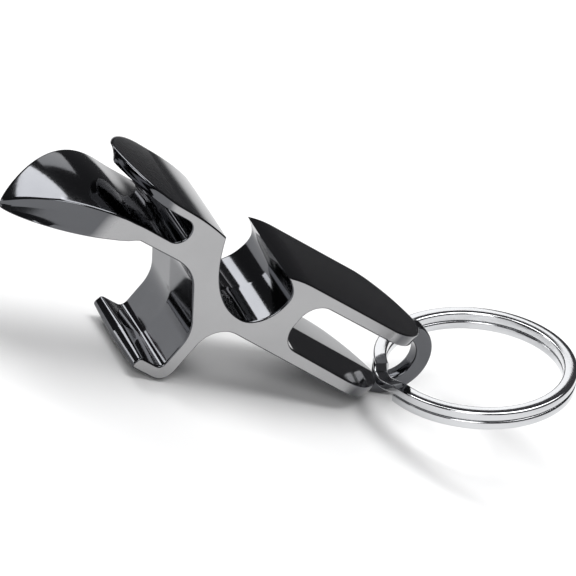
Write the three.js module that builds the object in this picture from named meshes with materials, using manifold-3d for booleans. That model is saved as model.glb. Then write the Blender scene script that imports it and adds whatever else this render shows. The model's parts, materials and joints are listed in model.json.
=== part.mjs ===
// Keychain bottle opener: one die-cast body with a cap mouth, a fin, a notch and a
// slotted tail, and a two-turn flat-wire split ring that swings in the tail's eye.
//
// Millimetres. The body is drawn in its own plan: X runs from the beak (-X) to the
// eye (+X), Y across the thickness and Z up the profile. The whole opener then leans
// back about Y until it stands on its hook and on the underside of its tail, and the
// origin is the middle of its footprint on the ground.

import * as THREE from 'three';
import { mergeVertices } from 'three/addons/utils/BufferGeometryUtils.js';
import Module from 'manifold-3d';

const wasm = await Module();
wasm.setup();

// ---- Driving dimensions ----

// The casting.
const halfThickness = 7.25; // flat side face to parting line
const draftRise = 0.34; // how far each wall leans out on its way to the parting line
const partingLand = 0.1; // flat strip left along the parting line

// Tail with its long slot. The eye is the round end of both.
const eyeX = 22.6;
const eyeZ = 2.45;
const eyeOuterRadius = 5.7;
const eyeHalfWidth = 1.05;
const tailTop = 8.0;
const tailBottom = -3.2;
const slotRadius = 3.9;
const slotTop = 6.2;
const slotBottom = -1.3;
const slotLeft = -0.9;
const slotCornerRadius = 3.1;

// Fin, jaw and beak.
const finTop = 8.75;
const finUnderside = 7.5;
const finTipX = -39.2;
const jawTop = 3.9;
const jawSlotEndX = -27.2;
const beakBendX = -34.5;
const beakBendRadius = 13;
const beakTipX = -46.9;

// Mouth and hook.
const mouthTop = 2.0;
const mouthBackX = -13.9;
const hookTop = -12.4;
const hookBottom = -14.1;
const hookTipX = -18.1;
const hookBackX = -11.8;
const heelRadius = 4.0;

// Each end narrows in plan to a rounded point.
const endPointing = 0.75;
const finPlan = { full: -29.5, tip: -39.6 };
const beakPlan = { full: -35.8, tip: -47.3 };
const tailPlan = { full: 13.3, tip: 23.0 };
const frontSplitZ = 5.7; // height between the beak's plan and the fin's
const middleStart = -28.5; // the full-width middle starts here
const planSteps = 14;

// Split ring: flat wire, two turns.
const ringOuterDiameter = 28.4;
const wireWidth = 1.9;
const wireHeight = 1.25;
const turnPitch = 1.4;
const ringTurnSteps = 48;
const upperEndAngle = 168; // degrees round the ring, where the upper turn is cut off
const jogSpan = 26; // degrees in which the wire steps from the upper to the lower turn
const lowerEndShort = 24; // degrees by which the lower turn stops short

// Where the ring hangs, in the body's own frame.
const hangX = 21.4;
const hangZ = 1.5;
const ringAside = -6.6; // the ring's centre lies this far to one side of the eye
const ringLift = 36.9; // degrees the ring's plane rises from the tail
const ringRoll = -6; // degrees the ring is rolled about its own long axis

// The stance: the body leans back until the hook and the tail both touch the ground.
const stanceLean = 16.4;

const degrees = Math.PI / 180;

// ---- Materials ----

const castMaterial = new THREE.MeshStandardMaterial({ color: 0x4a4b4d, roughness: 0.22, metalness: 1 });
const ringMaterial = new THREE.MeshStandardMaterial({ color: 0xd9dadc, roughness: 0.08, metalness: 1 });

// ---- Solids ----

function toSolid(geometry) {
  const bare = geometry.clone();
  bare.deleteAttribute('normal');
  bare.deleteAttribute('uv');
  const merged = mergeVertices(bare, 1e-4);
  return new wasm.Manifold(new wasm.Mesh({
    numProp: 3,
    vertProperties: new Float32Array(merged.attributes.position.array),
    triVerts: new Uint32Array(merged.index.array),
  }));
}

function toGeometry(solid) {
  const mesh = solid.getMesh();
  const geometry = new THREE.BufferGeometry();
  geometry.setAttribute('position', new THREE.BufferAttribute(mesh.vertProperties, 3));
  geometry.setIndex(new THREE.BufferAttribute(mesh.triVerts, 1));
  geometry.computeVertexNormals();
  return geometry;
}

// ---- Body ----

// The side view of the casting, drawn clockwise from the top of the neck.
function profileShape() {
  const shape = new THREE.Shape();
  shape.moveTo(-20.3, tailTop);
  // Notch behind the neck.
  shape.bezierCurveTo(-18.4, 4.4, -14.8, -1.0, -9.0, -1.0);
  shape.bezierCurveTo(-6.6, -1.0, -4.7, 1.2, -4.6, 4.2);
  shape.bezierCurveTo(-4.6, 5.8, -5.6, 6.4, -7.4, 7.4);
  // Wing and top of the tail.
  shape.quadraticCurveTo(-5.4, tailTop, -2.6, tailTop + 0.05);
  shape.lineTo(eyeX, eyeZ + eyeOuterRadius);
  shape.absarc(eyeX, eyeZ, eyeOuterRadius, 90 * degrees, -90 * degrees, true);
  // Underside of the tail and the hollow under the neck.
  shape.lineTo(hookBackX + heelRadius, tailBottom);
  const heelX = hookBackX + heelRadius;
  const heelZ = tailBottom - heelRadius;
  shape.absarc(heelX, heelZ, heelRadius, 90 * degrees, 180 * degrees, false);
  // Hook.
  shape.lineTo(hookBackX, hookBottom + 2.2);
  shape.quadraticCurveTo(hookBackX - 0.2, hookBottom, -14.2, hookBottom);
  shape.lineTo(hookTipX + 0.6, hookBottom);
  shape.quadraticCurveTo(hookTipX - 0.1, hookBottom, hookTipX, hookBottom + 0.7);
  shape.lineTo(hookTipX + 0.1, hookTop - 0.5);
  shape.quadraticCurveTo(hookTipX + 0.2, hookTop, hookTipX + 0.8, hookTop);
  // Mouth.
  shape.lineTo(mouthBackX - 1.0, hookTop);
  shape.quadraticCurveTo(mouthBackX, hookTop, mouthBackX, hookTop + 1.2);
  shape.lineTo(mouthBackX, -8.0);
  shape.quadraticCurveTo(mouthBackX - 0.1, -5.9, -15.5, -4.3);
  shape.lineTo(-19.0, -0.3);
  shape.quadraticCurveTo(-21.0, mouthTop, -24.4, mouthTop);
  shape.lineTo(-31.2, mouthTop - 0.1);
  // Underside and nose of the beak.
  shape.lineTo(-32.7, 1.15);
  shape.quadraticCurveTo(-40.6, -1.3, beakTipX, -5.75);
  const beakBendZ = jawTop - beakBendRadius;
  const tipAngle = Math.acos((beakTipX - beakBendX) / beakBendRadius);
  shape.absarc(beakBendX, beakBendZ, beakBendRadius, tipAngle, 90 * degrees, true);
  // Slot between jaw and fin.
  shape.lineTo(jawSlotEndX, jawTop);
  const jawSlotRadius = (finUnderside - jawTop) / 2;
  shape.absarc(jawSlotEndX, jawTop + jawSlotRadius, jawSlotRadius, -90 * degrees, 90 * degrees, false);
  // Fin.
  shape.lineTo(finTipX + 1.2, finUnderside);
  shape.lineTo(finTipX, finTop + 0.35);
  shape.lineTo(-30.0, finTop);
  shape.quadraticCurveTo(-24.0, finTop, -20.3, tailTop);

  const slot = new THREE.Path();
  const cornerX = slotLeft + slotCornerRadius;
  slot.moveTo(cornerX, slotTop);
  slot.absarc(cornerX, slotTop - slotCornerRadius, slotCornerRadius, 90 * degrees, 180 * degrees, false);
  slot.absarc(cornerX, slotBottom + slotCornerRadius, slotCornerRadius, 180 * degrees, 270 * degrees, false);
  slot.absarc(eyeX, eyeZ, slotRadius, -90 * degrees, 90 * degrees, false);
  shape.holes.push(slot);
  return shape;
}

// Two drafted halves back to back: the walls lean out to the parting line at Y = 0.
function castingSolid() {
  const geometry = new THREE.ExtrudeGeometry(profileShape(), {
    depth: partingLand,
    bevelThickness: halfThickness - partingLand / 2,
    bevelSize: draftRise,
    bevelSegments: 1,
    curveSegments: 14,
  });
  geometry.translate(0, 0, -partingLand / 2);
  geometry.rotateX(90 * degrees);
  return toSolid(geometry);
}

// Half the plan width at a fraction along a rounded point, from full width to the tip.
function pointHalfWidth(fraction) {
  return halfThickness * Math.pow(1 - fraction * fraction, endPointing);
}

function pointOutline(plan) {
  const outline = [];
  for (let step = 0; step <= planSteps; step += 1) {
    const fraction = Math.sin((step / planSteps) * 90 * degrees);
    outline.push([THREE.MathUtils.lerp(plan.full, plan.tip, fraction), pointHalfWidth(fraction)]);
  }
  return outline;
}

// A prism over a plan outline given for +Y and mirrored to -Y.
function planPrism(halfOutline, bottom, top) {
  const margin = halfThickness + 1;
  const shape = new THREE.Shape();
  const upper = halfOutline.map(([x, y]) => new THREE.Vector2(x, y >= halfThickness ? margin : y));
  const lower = [...upper].reverse().filter((point) => point.y > 0);
  shape.setFromPoints([...upper, ...lower.map((point) => new THREE.Vector2(point.x, -point.y))]);
  const geometry = new THREE.ExtrudeGeometry(shape, { depth: top - bottom, bevelEnabled: false });
  geometry.translate(0, 0, bottom);
  return toSolid(geometry);
}

// The plan width of the tail, down to the flat cheeks of the eye.
function tailOutline() {
  const outline = pointOutline(tailPlan).filter(([, y]) => y > eyeHalfWidth);
  const pastEye = eyeX + eyeOuterRadius + 2;
  return [...outline, [tailPlan.tip - 0.3, eyeHalfWidth], [pastEye, eyeHalfWidth]];
}

function bodySolid() {
  const below = hookBottom - 5;
  const above = finTop + 5;
  const fin = [...pointOutline(finPlan).reverse(), [middleStart + 0.5, halfThickness]];
  const beak = [...pointOutline(beakPlan).reverse(), [middleStart + 0.5, halfThickness]];
  const middle = [[middleStart, halfThickness], [tailPlan.full, halfThickness]];
  const tail = [[tailPlan.full - 0.5, halfThickness], ...tailOutline()];
  const allowed = planPrism(middle, below, above)
    .add(planPrism(fin, frontSplitZ, above))
    .add(planPrism(beak, below, frontSplitZ))
    .add(planPrism(tail, below, above));
  return castingSolid().intersect(allowed);
}

// ---- Split ring ----

// The wire's centre line: an upper turn, a short step down, and a lower turn.
class SplitRingPath extends THREE.Curve {
  constructor(radius) {
    super();
    this.radius = radius;
    this.sweep = 720 - lowerEndShort;
  }

  getPoint(t, target = new THREE.Vector3()) {
    const turned = t * this.sweep;
    const angle = (upperEndAngle - turned) * degrees;
    const stepped = THREE.MathUtils.smoothstep(turned, 360 - jogSpan - 3, 360 - 3);
    const height = turnPitch / 2 - stepped * turnPitch;
    return target.set(this.radius * Math.cos(angle), this.radius * Math.sin(angle), height);
  }
}

function ringGeometry() {
  const radius = (ringOuterDiameter - wireWidth) / 2;
  const path = new SplitRingPath(radius);
  const section = new THREE.Shape();
  const halfWidth = wireWidth / 2;
  const halfHeight = wireHeight / 2;
  section.moveTo(-halfHeight, -halfWidth);
  section.lineTo(halfHeight, -halfWidth);
  section.lineTo(halfHeight, halfWidth);
  section.lineTo(-halfHeight, halfWidth);
  section.closePath();
  const steps = ringTurnSteps * 2;
  return new THREE.ExtrudeGeometry(section, { steps, extrudePath: path, bevelEnabled: false });
}

// ---- Assembly ----

const bodyMesh = new THREE.Mesh(toGeometry(bodySolid()), castMaterial);
bodyMesh.name = 'opener_body';

const ringMesh = new THREE.Mesh(toGeometry(toSolid(ringGeometry())), ringMaterial);
ringMesh.name = 'split_ring';
const ringReach = Math.sqrt(((ringOuterDiameter - wireWidth) / 2) ** 2 - ringAside ** 2);
ringMesh.position.set(ringReach, ringAside, 0);

const ringTurn = new THREE.Group();
ringTurn.position.set(hangX, 0, hangZ);
ringTurn.rotation.set(ringRoll * degrees, -ringLift * degrees, 0, 'YXZ');
ringTurn.add(ringMesh);

const stance = new THREE.Group();
stance.rotation.y = stanceLean * degrees;
stance.add(bodyMesh, ringTurn);

const group = new THREE.Group();
group.add(stance);
const box = new THREE.Box3().setFromObject(group, true);
const footprint = box.getCenter(new THREE.Vector3());
stance.position.set(-footprint.x, -footprint.y, -box.min.z);

export default group;
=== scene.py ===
# %% [markdown]
# # A keychain bottle opener
#
# The real object is one zinc die casting with a gunmetal plate, and a bright split
# ring that hangs in its eye. This lesson models both in Blender, on top of the packed
# engineering model, which gives the sizes, the places and the joint.

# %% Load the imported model
import json
import math

import bmesh
import bpy
import numpy as np
from mathutils import Matrix, Vector


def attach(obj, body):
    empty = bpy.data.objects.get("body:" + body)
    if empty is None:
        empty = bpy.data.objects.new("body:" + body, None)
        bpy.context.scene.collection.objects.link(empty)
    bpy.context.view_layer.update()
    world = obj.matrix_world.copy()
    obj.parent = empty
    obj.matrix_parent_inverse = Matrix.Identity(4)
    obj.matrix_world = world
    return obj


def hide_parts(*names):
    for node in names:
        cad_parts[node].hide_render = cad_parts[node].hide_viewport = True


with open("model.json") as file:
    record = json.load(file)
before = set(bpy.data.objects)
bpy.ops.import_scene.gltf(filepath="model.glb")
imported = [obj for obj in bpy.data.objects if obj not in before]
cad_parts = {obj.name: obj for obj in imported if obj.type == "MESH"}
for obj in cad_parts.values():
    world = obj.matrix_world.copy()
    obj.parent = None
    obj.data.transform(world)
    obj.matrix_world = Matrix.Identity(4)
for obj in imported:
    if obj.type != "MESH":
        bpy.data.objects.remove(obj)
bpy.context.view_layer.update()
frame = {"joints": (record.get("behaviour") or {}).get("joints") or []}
hinge = Vector(next(j["pos_m"] for j in frame["joints"] if j["name"] == "ring_swing"))

# %% [markdown]
# ## Working in millimetres
#
# The drawing is easier to read in millimetres, while Blender works in metres, so every
# outline is written in millimetres and turned to metres as it becomes mesh. The casting
# is drawn level, as on paper: X from the beak to the eye, Z up. It leans back afterwards
# until it stands on its hook and on the underside of its tail.

# %% Units and the stance
MM = 0.001
stance_lean = math.radians(16.4)
hang_x, hang_z = 21.4, 1.5  # where the ring hangs, in the casting's own drawing
level_to_stance = Matrix.Rotation(stance_lean, 4, "Y")
hang_point = level_to_stance @ Vector((hang_x * MM, 0, hang_z * MM))
stand_matrix = Matrix.Translation(hinge - hang_point) @ level_to_stance
print("casting origin stands at", [round(v, 5) for v in stand_matrix.translation])


def deselect_all():
    if bpy.context.mode != "OBJECT":
        bpy.ops.object.mode_set(mode="OBJECT")
    bpy.ops.object.select_all(action="DESELECT")


def pick(obj):
    deselect_all()
    obj.select_set(True)
    bpy.context.view_layer.objects.active = obj


# %% [markdown]
# ## The casting's side view
#
# The side view is a chain of straight lines, arcs and Bezier bends, in the order of a
# walk round the metal: along the top of the tail to the wing, round the notch, along the
# fin, back under it, over the beak, round the mouth and the hook, and home along the
# bottom. Each stretch always has the same number of points, so that the outlines at
# different depths line up point for point and can be skinned.

# %% Lines, arcs and bends
def line(start, end, count):
    t = np.linspace(0, 1, count + 1)[:, None]
    return (1 - t) * np.array(start, float) + t * np.array(end, float)


def arc(centre, radius, start, end, count):
    turn = np.radians(np.linspace(start, end, count + 1))
    return np.array(centre) + radius * np.stack([np.cos(turn), np.sin(turn)], 1)


def bend(controls, count, last=1.0):
    t = np.linspace(0, last, count + 1)[:, None]
    points = [np.array(c, float) + 0 * t for c in controls]
    while len(points) > 1:
        points = [(1 - t) * a + t * b for a, b in zip(points, points[1:])]
    return points[0]


# %% Sizes of the casting, in millimetres
half_thickness = 7.25
edge_radius = 0.22  # the polished-over edges
draft_rise = 0.34  # the inner walls lean out to the parting line
top_crown = 0.06  # the outer faces are very slightly domed
jaw_crown, beak_crown = 0.3, 0.7  # the beak is domed more
eye_x, eye_z, eye_outer, eye_half_width = 22.6, 2.45, 5.7, 1.05
slot_radius = 3.9
tail_top, tail_bottom = 8.0, -3.2
slot_top, slot_bottom, slot_corner_x, slot_corner = 6.2, -1.3, 2.2, 3.1
fin_top, fin_under, fin_tip_x = 8.75, 7.5, -39.2
jaw_top, jaw_slot_x = 3.9, -27.2
beak_bend_x, beak_bend_radius = -34.5, 13.0
hook_bottom, hook_top = -14.1, -12.4
heel_x, heel_radius = -7.8, 4.0
beak_under = [(-32.7, 1.15), (-40.6, -1.3), (-46.9, -5.75)]
point_power = 0.75  # how pointed the rounded ends are in plan
plans = {"fin": (-29.5, -39.3), "fin_low": (-29.5, -37.3), "beak": (-35.8, -46.9), "tail": (13.3, 23.0)}


def plan_reach(y, plan):
    """How far out the plan outline reaches along X, at a depth y."""
    full, tip = plans[plan]
    share = min(abs(y) / half_thickness, 1.0) ** (1 / point_power)
    return full + (tip - full) * math.sqrt(1 - share)


def plan_half_width(x, plan):
    """Half the width of the plan at x, and how steeply it narrows there."""
    full, tip = plans[plan]
    share = np.clip((x - full) / (tip - full), 0, 0.9999)
    width = half_thickness * (1 - share**2) ** point_power
    slope = half_thickness * point_power * 2 * share / (1 - share**2) ** (1 - point_power)
    slope = slope / abs(tip - full)
    if plan == "tail":
        slope = np.where(width < eye_half_width, 0.0, slope)
        width = np.maximum(width, eye_half_width)
    return width, slope


# %% [markdown]
# Near a rounded end, the points of a stretch crowd towards its edge, so that the small
# round of the edge has enough of them.

# %% Stretches that end at the plan outline
edge_crowd = np.array([0.0, 0.04, 0.13, 0.27, 0.5])  # millimetres in from the edge


def crowd(points):
    """Replaces a stretch's last steps by ones that crowd towards its end."""
    length = np.r_[0, np.cumsum(np.linalg.norm(np.diff(points, axis=0), axis=1))]
    room = length[-1] - edge_crowd[-1]
    keep = len(points) - len(edge_crowd)
    at = np.r_[np.linspace(0, room, keep + 1)[:-1], length[-1] - edge_crowd[::-1]]
    return np.stack([np.interp(at, length, points[:, side]) for side in (0, 1)], 1)


def beak_underside(tip_x):
    (a, _), (b, _), (c, _) = beak_under
    square = a - 2 * b + c
    last = (a - b - math.sqrt((b - a) ** 2 - square * (a - tip_x))) / square
    return bend(beak_under, 60, last)


def front_stretches(y):
    """From the neck round the fin, the beak, the mouth and the hook."""
    fin_x = plan_reach(y, "fin")
    fin_top_x = max(fin_x, fin_tip_x)
    fin_low_x = plan_reach(y, "fin_low")
    fin_rise = fin_top + 0.35 * (-29.0 - fin_top_x) / 10
    tip_x = plan_reach(y, "beak")
    bend_z = jaw_top - beak_bend_radius
    tip_turn = math.degrees(math.acos((tip_x - beak_bend_x) / beak_bend_radius))
    beak_over = arc((beak_bend_x, bend_z), beak_bend_radius, 90, tip_turn, 90)
    jaw_mid = (jaw_top + fin_under) / 2
    return [
        (bend([(-20.3, tail_top), (-24.0, fin_top), (-28.5, fin_top)], 12), "crown", "fin"),
        (crowd(line((-28.5, fin_top), (fin_top_x, fin_rise), 22)), "crown", "fin"),
        (4, "wall", None),
        (crowd(line((jaw_slot_x, fin_under), (fin_low_x, fin_under), 20))[::-1], "draft", "fin_low"),
        (arc((jaw_slot_x, jaw_mid), (fin_under - jaw_top) / 2, 90, -90, 16), "draft", None),
        (line((jaw_slot_x, jaw_top), (beak_bend_x, jaw_top), 10), "beak", "beak"),
        (crowd(beak_over[::2]), "beak", "beak"),
        (6, "wall", None),
        (crowd(beak_underside(tip_x)[::2])[::-1], "flat", "beak"),
        (line(beak_under[0], (-31.2, 1.9), 3), "flat", "beak"),
        (line((-31.2, 1.9), (-24.4, 2.0), 6), "draft", "beak"),
        (bend([(-24.4, 2.0), (-21.0, 2.0), (-19.0, -0.3)], 10), "draft", None),
        (line((-19.0, -0.3), (-15.5, -4.3), 5), "draft", None),
        (bend([(-15.5, -4.3), (-14.0, -5.9), (-13.9, -8.0)], 8), "draft", None),
        (line((-13.9, -8.0), (-13.9, -11.2), 4), "draft", None),
        (bend([(-13.9, -11.2), (-13.9, hook_top), (-14.9, hook_top)], 8), "draft", None),
        (line((-14.9, hook_top), (-17.3, hook_top), 3), "draft", None),
        (bend([(-17.3, hook_top), (-17.95, hook_top), (-18.0, -12.95)], 5), "draft", None),
        (line((-18.0, -12.95), (-18.1, -13.4), 2), "draft", None),
        (bend([(-18.1, -13.4), (-18.2, hook_bottom), (-17.5, hook_bottom)], 5), "draft", None),
        (line((-17.5, hook_bottom), (-14.2, hook_bottom), 3), "draft", None),
        (bend([(-14.2, hook_bottom), (-12.0, hook_bottom), (-11.8, -11.9)], 9), "draft", None),
        (line((-11.8, -11.9), (-11.8, tail_bottom - heel_radius), 5), "draft", None),
        (arc((heel_x, tail_bottom - heel_radius), heel_radius, 180, 90, 14), "draft", None),
    ]


def outer_stretches(y, tail_x):
    """The whole outside, from the tail's end over the top and back along the bottom."""
    top_end = (tail_x, eye_z + eye_outer)
    bottom_end = (tail_x, eye_z - eye_outer)
    return [
        (crowd(line((-2.6, tail_top), top_end, 34))[::-1], "crown", "tail"),
        (bend([(-2.6, tail_top), (-5.4, tail_top), (-7.4, 7.4)], 8), "crown", None),
        (bend([(-7.4, 7.4), (-5.6, 6.4), (-4.6, 5.8), (-4.6, 4.2)], 8), "draft", None),
        (bend([(-4.6, 4.2), (-4.7, 1.2), (-6.6, -1.0), (-9.0, -1.0)], 14), "draft", None),
        (bend([(-9.0, -1.0), (-14.8, -1.0), (-18.4, 4.4), (-20.3, tail_top)], 18), "draft", None),
        *front_stretches(y),
        (crowd(line((heel_x, tail_bottom), bottom_end, 34)), "draft", "tail"),
    ]


def slot_stretches(tail_x):
    """The tail's slot, from its lower right end round to its upper right end."""
    low, high = (tail_x, eye_z - slot_radius), (tail_x, eye_z + slot_radius)
    low_corner = (slot_corner_x, slot_bottom + slot_corner)
    high_corner = (slot_corner_x, slot_top - slot_corner)
    slot_left = slot_corner_x - slot_corner
    return [
        (crowd(line((slot_corner_x, slot_bottom), low, 26))[::-1], "draft", "tail"),
        (arc(low_corner, slot_corner, 270, 180, 10), "draft", None),
        (line((slot_left, low_corner[1]), (slot_left, high_corner[1]), 2), "draft", None),
        (arc(high_corner, slot_corner, 180, 90, 10), "draft", None),
        (crowd(line((slot_corner_x, slot_top), high, 26)), "draft", "tail"),
    ]


# %% [markdown]
# ## From side view to depth
#
# At each depth, an outline is moved along its own normals. Inner walls lean out towards
# the parting line, as a casting's walls must so that it leaves its mould. Outer faces
# are domed a little. Close to the plan outline, everything rolls inwards on a small
# radius, which is what polishing does to an edge.

# %% Move an outline to its depth
def rolled(distance):
    """How far a face has rolled inwards, at a distance from its edge."""
    left = np.clip(edge_radius - distance, 0, edge_radius)
    return edge_radius - np.sqrt(edge_radius**2 - left**2)


def edge_normals(points):
    """The outward normal of each step round a closed outline."""
    step = np.roll(points, -1, axis=0) - points
    return np.stack([step[:, 1], -step[:, 0]], 1) / np.linalg.norm(step, axis=1)[:, None]


def at_depth(stretches, y):
    """The outline's points at depth y, as an array of X and Z."""
    depth_share = abs(y) / half_thickness
    dome = 1 - depth_share**2
    rise = {"flat": 0.0, "draft": draft_rise * (1 - depth_share), "crown": top_crown * dome}
    points, push, is_wall = [], [], []
    for index, (stretch, kind, plan) in enumerate(stretches):
        if kind == "wall":
            start, end = stretches[index - 1][0][-1], stretches[(index + 1) % len(stretches)][0][0]
            stretch = line(start, end, stretch)[1:-1]
            points.append(stretch)
            push.append(np.zeros(len(stretch)))
            is_wall.append(np.ones(len(stretch), bool))
            continue
        if stretches[(index + 1) % len(stretches)][1] != "wall":
            stretch = stretch[:-1]
        if kind == "beak":
            share = np.clip((-30.0 - stretch[:, 0]) / 9.0, 0, 1)
            smooth = share**2 * (3 - 2 * share)
            out = (jaw_crown + (beak_crown - jaw_crown) * smooth) * dome
        else:
            out = np.full(len(stretch), rise[kind])
        width, slope = plan_half_width(stretch[:, 0], plan) if plan else (half_thickness, 0.0)
        points.append(stretch)
        push.append(out - rolled((width - abs(y)) / np.sqrt(1 + slope**2)))
        is_wall.append(np.zeros(len(stretch), bool))
    points, push, is_wall = (np.concatenate(part) for part in (points, push, is_wall))
    after = edge_normals(points)
    before = np.roll(after, 1, axis=0)
    wall_after = is_wall | np.roll(is_wall, -1)
    wall_before = is_wall | np.roll(is_wall, 1)
    after[wall_after & ~is_wall] = before[wall_after & ~is_wall]
    before[wall_before & ~is_wall] = after[wall_before & ~is_wall]
    mitre = before + after
    mitre /= np.maximum((mitre**2).sum(1), 1.0)[:, None] / 2
    return points + mitre * push[:, None]


def middle_outer(y):
    eye = arc((eye_x, eye_z), eye_outer, -90, 90, eye_steps)
    return at_depth([*outer_stretches(y, eye_x), (eye, "draft", "tail")], y)


def middle_slot(y):
    eye = arc((eye_x, eye_z), slot_radius, 90, -90, eye_steps)
    return at_depth([*slot_stretches(eye_x), (eye, "draft", "tail")], y)


def forked(y):
    """Past the eye's cheeks the slot is open, and the outline is one loop."""
    tail_x = min(plan_reach(y, "tail"), eye_x)
    walls = (cheek_steps, "wall", None)
    return at_depth([*outer_stretches(y, tail_x), walls, *slot_stretches(tail_x), walls], y)


eye_steps = 36
cheek_steps = 3
print("outline points", len(middle_outer(0)), len(middle_slot(0)), len(forked(2)))


# %% [markdown]
# ## Skinning the casting
#
# A circle with one vertex for each point of the outline is added and its vertices are
# set on the outline at the parting line. Extruding that loop and setting the new
# vertices on the next outline, again and again, skins one half of the casting. This is
# the loft that other programs have as one command. Booleans were the other way, but on
# a mirror-bright surface the slivers that they leave would show.

# %% Add a loop and extrude it to the next outline
def to_loop(points, name, first_station=0):
    deselect_all()
    bpy.ops.mesh.primitive_circle_add(vertices=len(points), radius=0.01, fill_type="NOTHING")
    obj = bpy.context.object
    obj.name = name
    station = obj.data.attributes.new("station", "INT", "POINT")
    for index, (x, z) in enumerate(points):
        obj.data.vertices[index].co = (x * MM, 0, z * MM)
        station.data[index].value = first_station + index
    return obj


slot_stations = 1000  # the slot's own stations count from here


def set_selected(mesh, points, y):
    """Sets each selected vertex on the outline point with its station number."""
    work = bmesh.from_edit_mesh(mesh)
    station = work.verts.layers.int["station"]
    for vertex in (v for v in work.verts if v.select):
        x, z = points[vertex[station] % slot_stations]
        vertex.co = (x * MM, y * MM, z * MM)
    bmesh.update_edit_mesh(mesh)


def extrude_to(mesh, points, y):
    bpy.ops.mesh.extrude_region_move()
    set_selected(mesh, points, y)


def skin(obj, outline, depths):
    pick(obj)
    bpy.ops.object.mode_set(mode="EDIT")
    bpy.ops.mesh.select_all(action="SELECT")
    for y in depths:
        extrude_to(obj.data, outline(y), y)
    bpy.ops.object.mode_set(mode="OBJECT")


cheek_y = eye_half_width
middle_depths = [0.3, 0.6, *(cheek_y - edge for edge in (0.22, 0.13, 0.05, 0.012, 0.0))]
body = to_loop(middle_outer(0), "casting")
skin(body, middle_outer, middle_depths)
slot_loop = to_loop(middle_slot(0), "casting_slot", slot_stations)
skin(slot_loop, middle_slot, middle_depths)
print("middle of the casting:", len(body.data.vertices), "and", len(slot_loop.data.vertices), "vertices")

# %% [markdown]
# The eye's flat cheeks join the outer arc to the slot's arc. Bridge Edge Loops fills
# such a band between two rows of edges, with as many cuts as are asked for.

# %% Bridge the cheeks
def open_rim(work):
    rim = [e for e in work.edges if e.is_boundary]
    return [e for e in rim if all(abs(v.co.y - cheek_y * MM) < 1e-7 for v in e.verts)]


outer_count, slot_count = len(middle_outer(0)), len(middle_slot(0))
eye_stations = {*range(outer_count - eye_steps, outer_count), 0}
eye_stations |= {slot_stations + s for s in (*range(slot_count - eye_steps, slot_count), 0)}
pick(slot_loop)
body.select_set(True)
bpy.context.view_layer.objects.active = body
bpy.ops.object.join()
bpy.ops.object.mode_set(mode="EDIT")
bpy.ops.mesh.select_mode(type="EDGE")
bpy.ops.mesh.select_all(action="DESELECT")
work = bmesh.from_edit_mesh(body.data)
station = work.verts.layers.int["station"]
for edge in open_rim(work):
    edge.select_set(all(v[station] in eye_stations for v in edge.verts))
print("edges to bridge:", sum(e.select for e in work.edges))
bmesh.update_edit_mesh(body.data)
bpy.ops.mesh.bridge_edge_loops(number_cuts=cheek_steps - 1, interpolation="LINEAR")
print("faces before the sides:", len(bmesh.from_edit_mesh(body.data).faces))

# %% [markdown]
# What is left open is one loop, forked at the tail. Its vertices take new station
# numbers from the forked outline, by place, and the loop is extruded out to the side,
# where one flat face closes it.

# %% Skin the side and close it
bpy.ops.mesh.select_all(action="DESELECT")
work = bmesh.from_edit_mesh(body.data)
station = work.verts.layers.int["station"]
fork = forked(cheek_y) * MM
rim = open_rim(work)
gap = 0.0  # how far a vertex is from its station, at most
for edge in rim:
    edge.select_set(True)
    for v in edge.verts:
        away = np.hypot(fork[:, 0] - v.co.x, fork[:, 1] - v.co.z)
        v[station] = int(away.argmin())
        gap = max(gap, float(away.min()))
bmesh.update_edit_mesh(body.data)
print("open loop:", len(rim), "edges for", len(fork), "points, largest gap", round(gap / MM, 4), "mm")

side_steps = 22
first_turn = math.acos((cheek_y / half_thickness) ** (1 / (2 * point_power)))
side_turns = [first_turn * (1 - step / side_steps) for step in range(1, side_steps + 1)]
for turn in side_turns:
    depth = half_thickness * math.cos(turn) ** (2 * point_power)
    extrude_to(body.data, forked(depth), depth)
bpy.ops.mesh.edge_face_add()
print("half casting:", len(body.data.vertices), "vertices")

# %% [markdown]
# The beak is a little wider than the neck. The flat side is first split where the beak
# begins, by joining two of its corners, and then the beak's vertices move outwards, more
# and more over the first few millimetres.

# %% Widen the beak
beak_widening, beak_start, beak_full = 0.053, -31.4, -34.6


def nearest(work, x, z):
    side = [v for v in work.verts if v.co.y > (half_thickness - 0.01) * MM]
    return min(side, key=lambda v: (v.co - Vector((x * MM, half_thickness * MM, z * MM))).length)


bpy.ops.mesh.select_mode(type="VERT")
bpy.ops.mesh.select_all(action="DESELECT")
work = bmesh.from_edit_mesh(body.data)
for place in ((beak_start, jaw_top), (beak_start, 1.9)):
    nearest(work, *place).select_set(True)
bmesh.update_edit_mesh(body.data)
bpy.ops.mesh.vert_connect()
work = bmesh.from_edit_mesh(body.data)
for v in work.verts:
    into_beak = (beak_start - v.co.x / MM) / (beak_start - beak_full)
    if v.co.z < (jaw_top + fin_under) / 2 * MM and into_beak > 0:
        share = min(into_beak, 1.0)
        v.co.y *= 1 + beak_widening * share * share * (3 - 2 * share)
bmesh.update_edit_mesh(body.data)
bpy.ops.object.mode_set(mode="OBJECT")
many_corners = 20  # only the flat sides have faces with more corners than this
print("flat side faces:", sum(len(f.vertices) > many_corners for f in body.data.polygons))

# %% [markdown]
# The other half is its mirror image across the parting line.

# %% Mirror, tidy and smooth
def apply_modifier(obj, kind, **settings):
    pick(obj)
    modifier = obj.modifiers.new(kind.lower(), kind)
    for key, value in settings.items():
        setattr(modifier, key, value)
    bpy.ops.object.modifier_apply(modifier=modifier.name)


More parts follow.
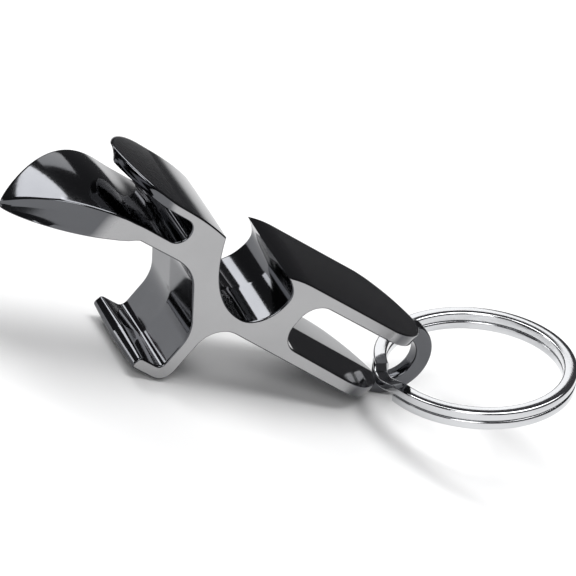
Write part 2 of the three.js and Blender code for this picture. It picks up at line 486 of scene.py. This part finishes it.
weld = 1e-6  # metres; vertices nearer than this are one
apply_modifier(body, "MIRROR", use_axis=(False, True, False), merge_threshold=weld)
bpy.ops.object.mode_set(mode="EDIT")
bpy.ops.mesh.select_all(action="SELECT")
bpy.ops.mesh.remove_doubles(threshold=weld)
bpy.ops.mesh.normals_make_consistent(inside=False)
bpy.ops.object.mode_set(mode="OBJECT")
bpy.ops.object.shade_smooth_by_angle(angle=math.radians(38))
apply_modifier(body, "WEIGHTED_NORMAL", mode="FACE_AREA", keep_sharp=True)
body.matrix_world = stand_matrix
bpy.ops.object.transform_apply(location=True, rotation=True, scale=True)
work = bmesh.new()
work.from_mesh(body.data)
print("open edges in the casting:", sum(e.is_boundary for e in work.edges))
print("its volume in cubic millimetres:", round(work.calc_volume() / MM**3))
work.free()

# %% [markdown]
# ## The split ring
#
# A split ring is a flat spring wire wound twice on itself, with its two ends cut square.
# Between the turns the wire steps across by its own height. A curve follows the middle
# of the wire, and a small rounded rectangle is swept along it as its bevel object.

# %% Wind the wire
ring_outer, wire_width, wire_height, turn_pitch = 28.32, 1.9, 1.28, 1.36
upper_end, jog_span, lower_short = 168.0, 26.0, 24.0  # degrees round the ring
ring_aside, ring_lift, ring_roll = -6.6, 36.9, -6.0
ring_radius = (ring_outer - wire_width) / 2
ring_reach = math.sqrt(ring_radius**2 - ring_aside**2)


def wire_point(turned):
    share = min(max((turned - (360 - jog_span - 3)) / jog_span, 0), 1)
    step = share * share * (3 - 2 * share)
    angle = math.radians(upper_end - turned)
    height = turn_pitch / 2 - step * turn_pitch
    return Vector((ring_radius * math.cos(angle), ring_radius * math.sin(angle), height)) * MM


def wire_section():
    """A rounded rectangle, drawn as a closed curve."""
    deselect_all()
    bpy.ops.curve.primitive_bezier_circle_add(radius=0.001)
    section = bpy.context.object
    spline = section.data.splines[0]
    section.data.splines.remove(spline)
    spline = section.data.splines.new("POLY")
    corner, steps = 0.28, 5
    across, up = wire_width / 2 - corner, wire_height / 2 - corner
    points = []
    for quarter, (sx, sy) in enumerate([(1, 1), (-1, 1), (-1, -1), (1, -1)]):
        for step in range(steps + 1):
            turn = math.radians(90 * (quarter + step / steps))
            points.append((sx * across + corner * math.cos(turn), sy * up + corner * math.sin(turn)))
    spline.points.add(len(points) - 1)
    for point, (x, y) in zip(spline.points, points):
        point.co = (x * MM, y * MM, 0, 1)
    spline.use_cyclic_u = True
    section.name = "wire_section"
    return section


section = wire_section()
deselect_all()
bpy.ops.curve.primitive_nurbs_path_add()
ring = bpy.context.object
ring.name = "key_ring"
ring.data.splines.remove(ring.data.splines[0])
wire = ring.data.splines.new("POLY")
wire_steps = 300
wire.points.add(wire_steps)
for index, point in enumerate(wire.points):
    point.co = (*wire_point((720 - lower_short) * index / wire_steps), 1)
ring.data.twist_mode = "Z_UP"
ring.data.bevel_mode = "OBJECT"
ring.data.bevel_object = section
ring.data.use_fill_caps = True
pick(ring)
bpy.ops.object.convert(target="MESH")
ring = bpy.context.object
bpy.data.objects.remove(section)
print("ring wire:", len(ring.data.vertices), "vertices")

# %% [markdown]
# The swept wire's caps are loose until their doubles are merged. The ring is then turned
# to its angle about the hinge, with the point that hangs in the eye at the hinge itself,
# and its place is applied to the mesh. Each finished piece is tied to its moving body.

# %% Close the ends and hang the ring in the eye
bpy.ops.object.mode_set(mode="EDIT")
bpy.ops.mesh.select_all(action="SELECT")
bpy.ops.mesh.remove_doubles(threshold=weld)
bpy.ops.mesh.normals_make_consistent(inside=False)
bpy.ops.object.mode_set(mode="OBJECT")
bpy.ops.object.shade_smooth_by_angle(angle=math.radians(35))
swing = Matrix.Rotation(stance_lean - math.radians(ring_lift), 4, "Y")
roll = Matrix.Rotation(math.radians(ring_roll), 4, "X")
offset = Matrix.Translation((ring_reach * MM, ring_aside * MM, 0))
ring.matrix_world = Matrix.Translation(hinge) @ swing @ roll @ offset
bpy.ops.object.transform_apply(location=True, rotation=True, scale=True)

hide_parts("opener_body")
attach(body, "opener")
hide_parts("split_ring")
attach(ring, "key_ring")

# %% [markdown]
# ## Materials
#
# The casting is zinc with a gunmetal plate, a black nickel. It is a dark mirror: the eye
# sees a dim, sharp picture of the room in it, bright only where a lamp is reflected. The
# ring is spring steel with a bright nickel plate, a light mirror. Both are full metals.
# A perfect mirror looks false, so a faint cloudiness varies the colour, and polishing
# marks half a millimetre and less across vary the roughness and lift the surface a
# little. The patterns follow Object coordinates, in real millimetres.

# %% Colours and nodes
def linear(hex_colour):
    """An sRGB hex value as the linear colour that the shader wants."""
    parts = [int(hex_colour[i : i + 2], 16) / 255 for i in (1, 3, 5)]
    return (*(p / 12.92 if p <= 0.04045 else ((p + 0.055) / 1.055) ** 2.4 for p in parts), 1)


def add(tree, kind, inputs=None, **settings):
    """Adds one node, with its settings and the values or links of its inputs."""
    node = tree.nodes.new(kind)
    for key, value in settings.items():
        setattr(node, key, value)
    for key, value in (inputs or {}).items():
        if isinstance(value, bpy.types.NodeSocket):
            tree.links.new(value, node.inputs[key])
        else:
            node.inputs[key].default_value = value
    return node


def new_material(name):
    material = bpy.data.materials.new(name)
    material.use_nodes = True
    shader = material.node_tree.nodes["Principled BSDF"]
    place = add(material.node_tree, "ShaderNodeTexCoord").outputs["Object"]
    return material, material.node_tree, shader, place


def metal(name, colours, roughness, cloud_mm, grain_mm, bump):
    """Plated metal: a faint cloudiness in colour, and polishing marks in roughness and bump."""
    material, tree, shader, place = new_material(name)
    cloud = add(tree, "ShaderNodeTexNoise", {"Vector": place, "Scale": 1 / (cloud_mm * MM), "Detail": 3.0})
    tint = add(tree, "ShaderNodeMix", {"Factor": cloud.outputs["Fac"]}, data_type="RGBA")
    tint.inputs["A"].default_value = linear(colours[0])
    tint.inputs["B"].default_value = linear(colours[1])
    tree.links.new(tint.outputs["Result"], shader.inputs["Base Color"])
    grain = add(
        tree,
        "ShaderNodeTexNoise",
        {"Vector": place, "Scale": 1 / (grain_mm * MM), "Detail": 4.0, "Roughness": 0.6},
    )
    spread = add(tree, "ShaderNodeMapRange", {"Value": grain.outputs["Fac"]})
    spread.inputs["To Min"].default_value, spread.inputs["To Max"].default_value = roughness
    tree.links.new(spread.outputs["Result"], shader.inputs["Roughness"])
    relief = add(
        tree,
        "ShaderNodeBump",
        {"Height": grain.outputs["Fac"], "Strength": bump, "Distance": 0.01 * MM},
    )
    tree.links.new(relief.outputs["Normal"], shader.inputs["Normal"])
    shader.inputs["Metallic"].default_value = 1.0
    return material


steel = metal("bright_plated_steel", ("#c6c7c9", "#d2d3d5"), (0.04, 0.1), 4.0, 0.3, 0.04)
gunmetal = metal("gunmetal_plate", ("#58595c", "#626366"), (0.06, 0.13), 6.0, 0.5, 0.05)
print("materials:", [m.name for m in (steel, gunmetal)])

# %% [markdown]
# The two flat sides are taken to be a satin, which is duller than the mirror of the rest.
# They are also painted lighter: the same plate gets a lighter base colour there, a painted
# brightening for the light that the flat sides catch. Both fade out where the sides turn in
# to the rounded ends. A number on each vertex, from 0 to 1, says how flat the side is there,
# and the shader mixes the two finishes by it.

# %% Satin sides, painted lighter
flat = body.data.attributes.new("flat_side", "FLOAT", "POINT")
turned = np.empty(len(body.data.vertices) * 3)
body.data.vertices.foreach_get("normal", turned)
satin_ends, satin_full = 0.972, 0.998  # how squarely a vertex faces sideways
sideways = np.abs(turned.reshape(-1, 3)[:, 1])
share = np.clip((sideways - satin_ends) / (satin_full - satin_ends), 0, 1)
for face in body.data.polygons:
    if len(face.vertices) > many_corners:
        share[list(face.vertices)] = 1.0
for vertex in body.data.vertices:
    if abs(vertex.co.y - hinge.y) < half_thickness / 2 * MM:
        share[vertex.index] = 0.0  # the eye's cheeks are flat too, but stay polished
flat.data.foreach_set("value", share)


def mix_by_flatness(material, socket_name, satin_value, data_type):
    """Mixes what a shader socket has now with the satin's own value."""
    tree = material.node_tree
    socket = tree.nodes["Principled BSDF"].inputs[socket_name]
    flatness = add(tree, "ShaderNodeAttribute", attribute_name="flat_side").outputs["Fac"]
    mix = add(tree, "ShaderNodeMix", data_type=data_type)
    slot = {"RGBA": 6, "FLOAT": 2}[data_type]
    tree.links.new(flatness, mix.inputs[0])
    tree.links.new(socket.links[0].from_socket, mix.inputs[slot])
    tree.links.new(satin_value, mix.inputs[slot + 1])
    tree.links.new(mix.outputs["Result" if data_type == "FLOAT" else 2], socket)


satin_place = add(gunmetal.node_tree, "ShaderNodeTexCoord").outputs["Object"]
grain_way = add(gunmetal.node_tree, "ShaderNodeMapping", {"Vector": satin_place, "Scale": (0.12, 1, 1)})
satin_grain = add(
    gunmetal.node_tree, "ShaderNodeTexNoise", {"Vector": grain_way.outputs["Vector"], "Scale": 8000.0}
)
satin_rough = add(
    gunmetal.node_tree,
    "ShaderNodeMapRange",
    {"Value": satin_grain.outputs["Fac"], "To Min": 0.26, "To Max": 0.34},
)
satin_cloud = add(gunmetal.node_tree, "ShaderNodeTexNoise", {"Vector": satin_place, "Scale": 150.0})
# Painted light: the flat sides take a lighter base colour (#a2a2a3 to #acacad) than the polished plate, a
# painted brightening of the same plate.
satin_painted_lightening = add(
    gunmetal.node_tree, "ShaderNodeMix", {"Factor": satin_cloud.outputs["Fac"]}, data_type="RGBA"
)
satin_painted_lightening.inputs[6].default_value = linear("#a2a2a3")
satin_painted_lightening.inputs[7].default_value = linear("#acacad")
mix_by_flatness(gunmetal, "Base Color", satin_painted_lightening.outputs[2], "RGBA")
mix_by_flatness(gunmetal, "Roughness", satin_rough.outputs["Result"], "FLOAT")
for piece, finish, slot_name in ((body, gunmetal, "gunmetal_plate"), (ring, steel, "bright_steel")):
    piece.data.materials.clear()
    piece.data.materials.append(finish)
print("vertices with some satin:", int((share > 0).sum()))

# %% [markdown]
# ## Studio
#
# A mirror shows its room, so here the lights are half of the finish. The floor is pale
# paper. The room is dark, because the top faces reflect the horizon and have to stay
# dark. Each softbox stands where one surface mirrors it towards the camera: one glows on
# the beak's tip, one on the ring's upper face, and a low one on the hook's nub.

# %% Floor, lights and camera
deselect_all()
bpy.ops.mesh.primitive_plane_add(size=3.0)
floor = bpy.context.object
floor.name = "floor"
floor_material, _, floor_shader, _ = new_material("pale_paper")
floor_shader.inputs["Base Color"].default_value = linear("#f4f4f4")
floor_shader.inputs["Roughness"].default_value = 0.9
floor.data.materials.append(floor_material)

world = bpy.data.worlds.new("studio")
bpy.context.scene.world = world
world.use_nodes = True
world.node_tree.nodes["Background"].inputs["Color"].default_value = linear("#464648")
world.node_tree.nodes["Background"].inputs["Strength"].default_value = 1.0


def softbox(name, place, aim, size, watts):
    light = bpy.data.lights.new(name, "AREA")
    light.shape = "RECTANGLE"
    light.size, light.size_y = size
    light.energy = watts
    obj = bpy.data.objects.new(name, light)
    bpy.context.scene.collection.objects.link(obj)
    obj.location = place
    obj.rotation_euler = (Vector(aim) - Vector(place)).to_track_quat("-Z", "Y").to_euler()
    return obj


middle = (0.0, 0.005, 0.012)
softbox("overhead", (0.05, 0.1, 0.8), middle, (0.7, 0.7), 7.0)
softbox("beak_glow", (-0.32, 0.8, 0.8), middle, (0.55, 0.5), 4.5)
softbox("ring_glow", (0.22, 1.0, 0.56), middle, (0.36, 0.26), 0.42)
softbox("low_left", (-0.74, 0.56, 0.085), middle, (0.2, 0.16), 0.4)
softbox("front_left", (-0.5, -0.5, 0.45), middle, (0.4, 0.4), 2.5)

view_azimuth, view_elevation, view_roll = (math.radians(v) for v in (-37.9, 24.5, 28.0))
view_distance = 0.6276
view_aim = Vector((0.00254, 0.00706, 0.01321))
back = Vector(
    (
        math.sin(view_azimuth) * math.cos(view_elevation),
        -math.cos(view_azimuth) * math.cos(view_elevation),
        math.sin(view_elevation),
    )
)
camera_data = bpy.data.cameras.new("camera")
camera_data.lens = 290.3
camera_data.sensor_width = 36.0
camera_data.clip_start = 0.01
camera = bpy.data.objects.new("camera", camera_data)
bpy.context.scene.collection.objects.link(camera)
level = back.to_track_quat("Z", "Y").to_matrix().to_4x4()
seat = Matrix.Translation(view_aim + back * view_distance)
camera.matrix_world = seat @ level @ Matrix.Rotation(view_roll, 4, "Z")
bpy.context.scene.camera = camera
bpy.context.scene.view_settings.view_transform = "Standard"
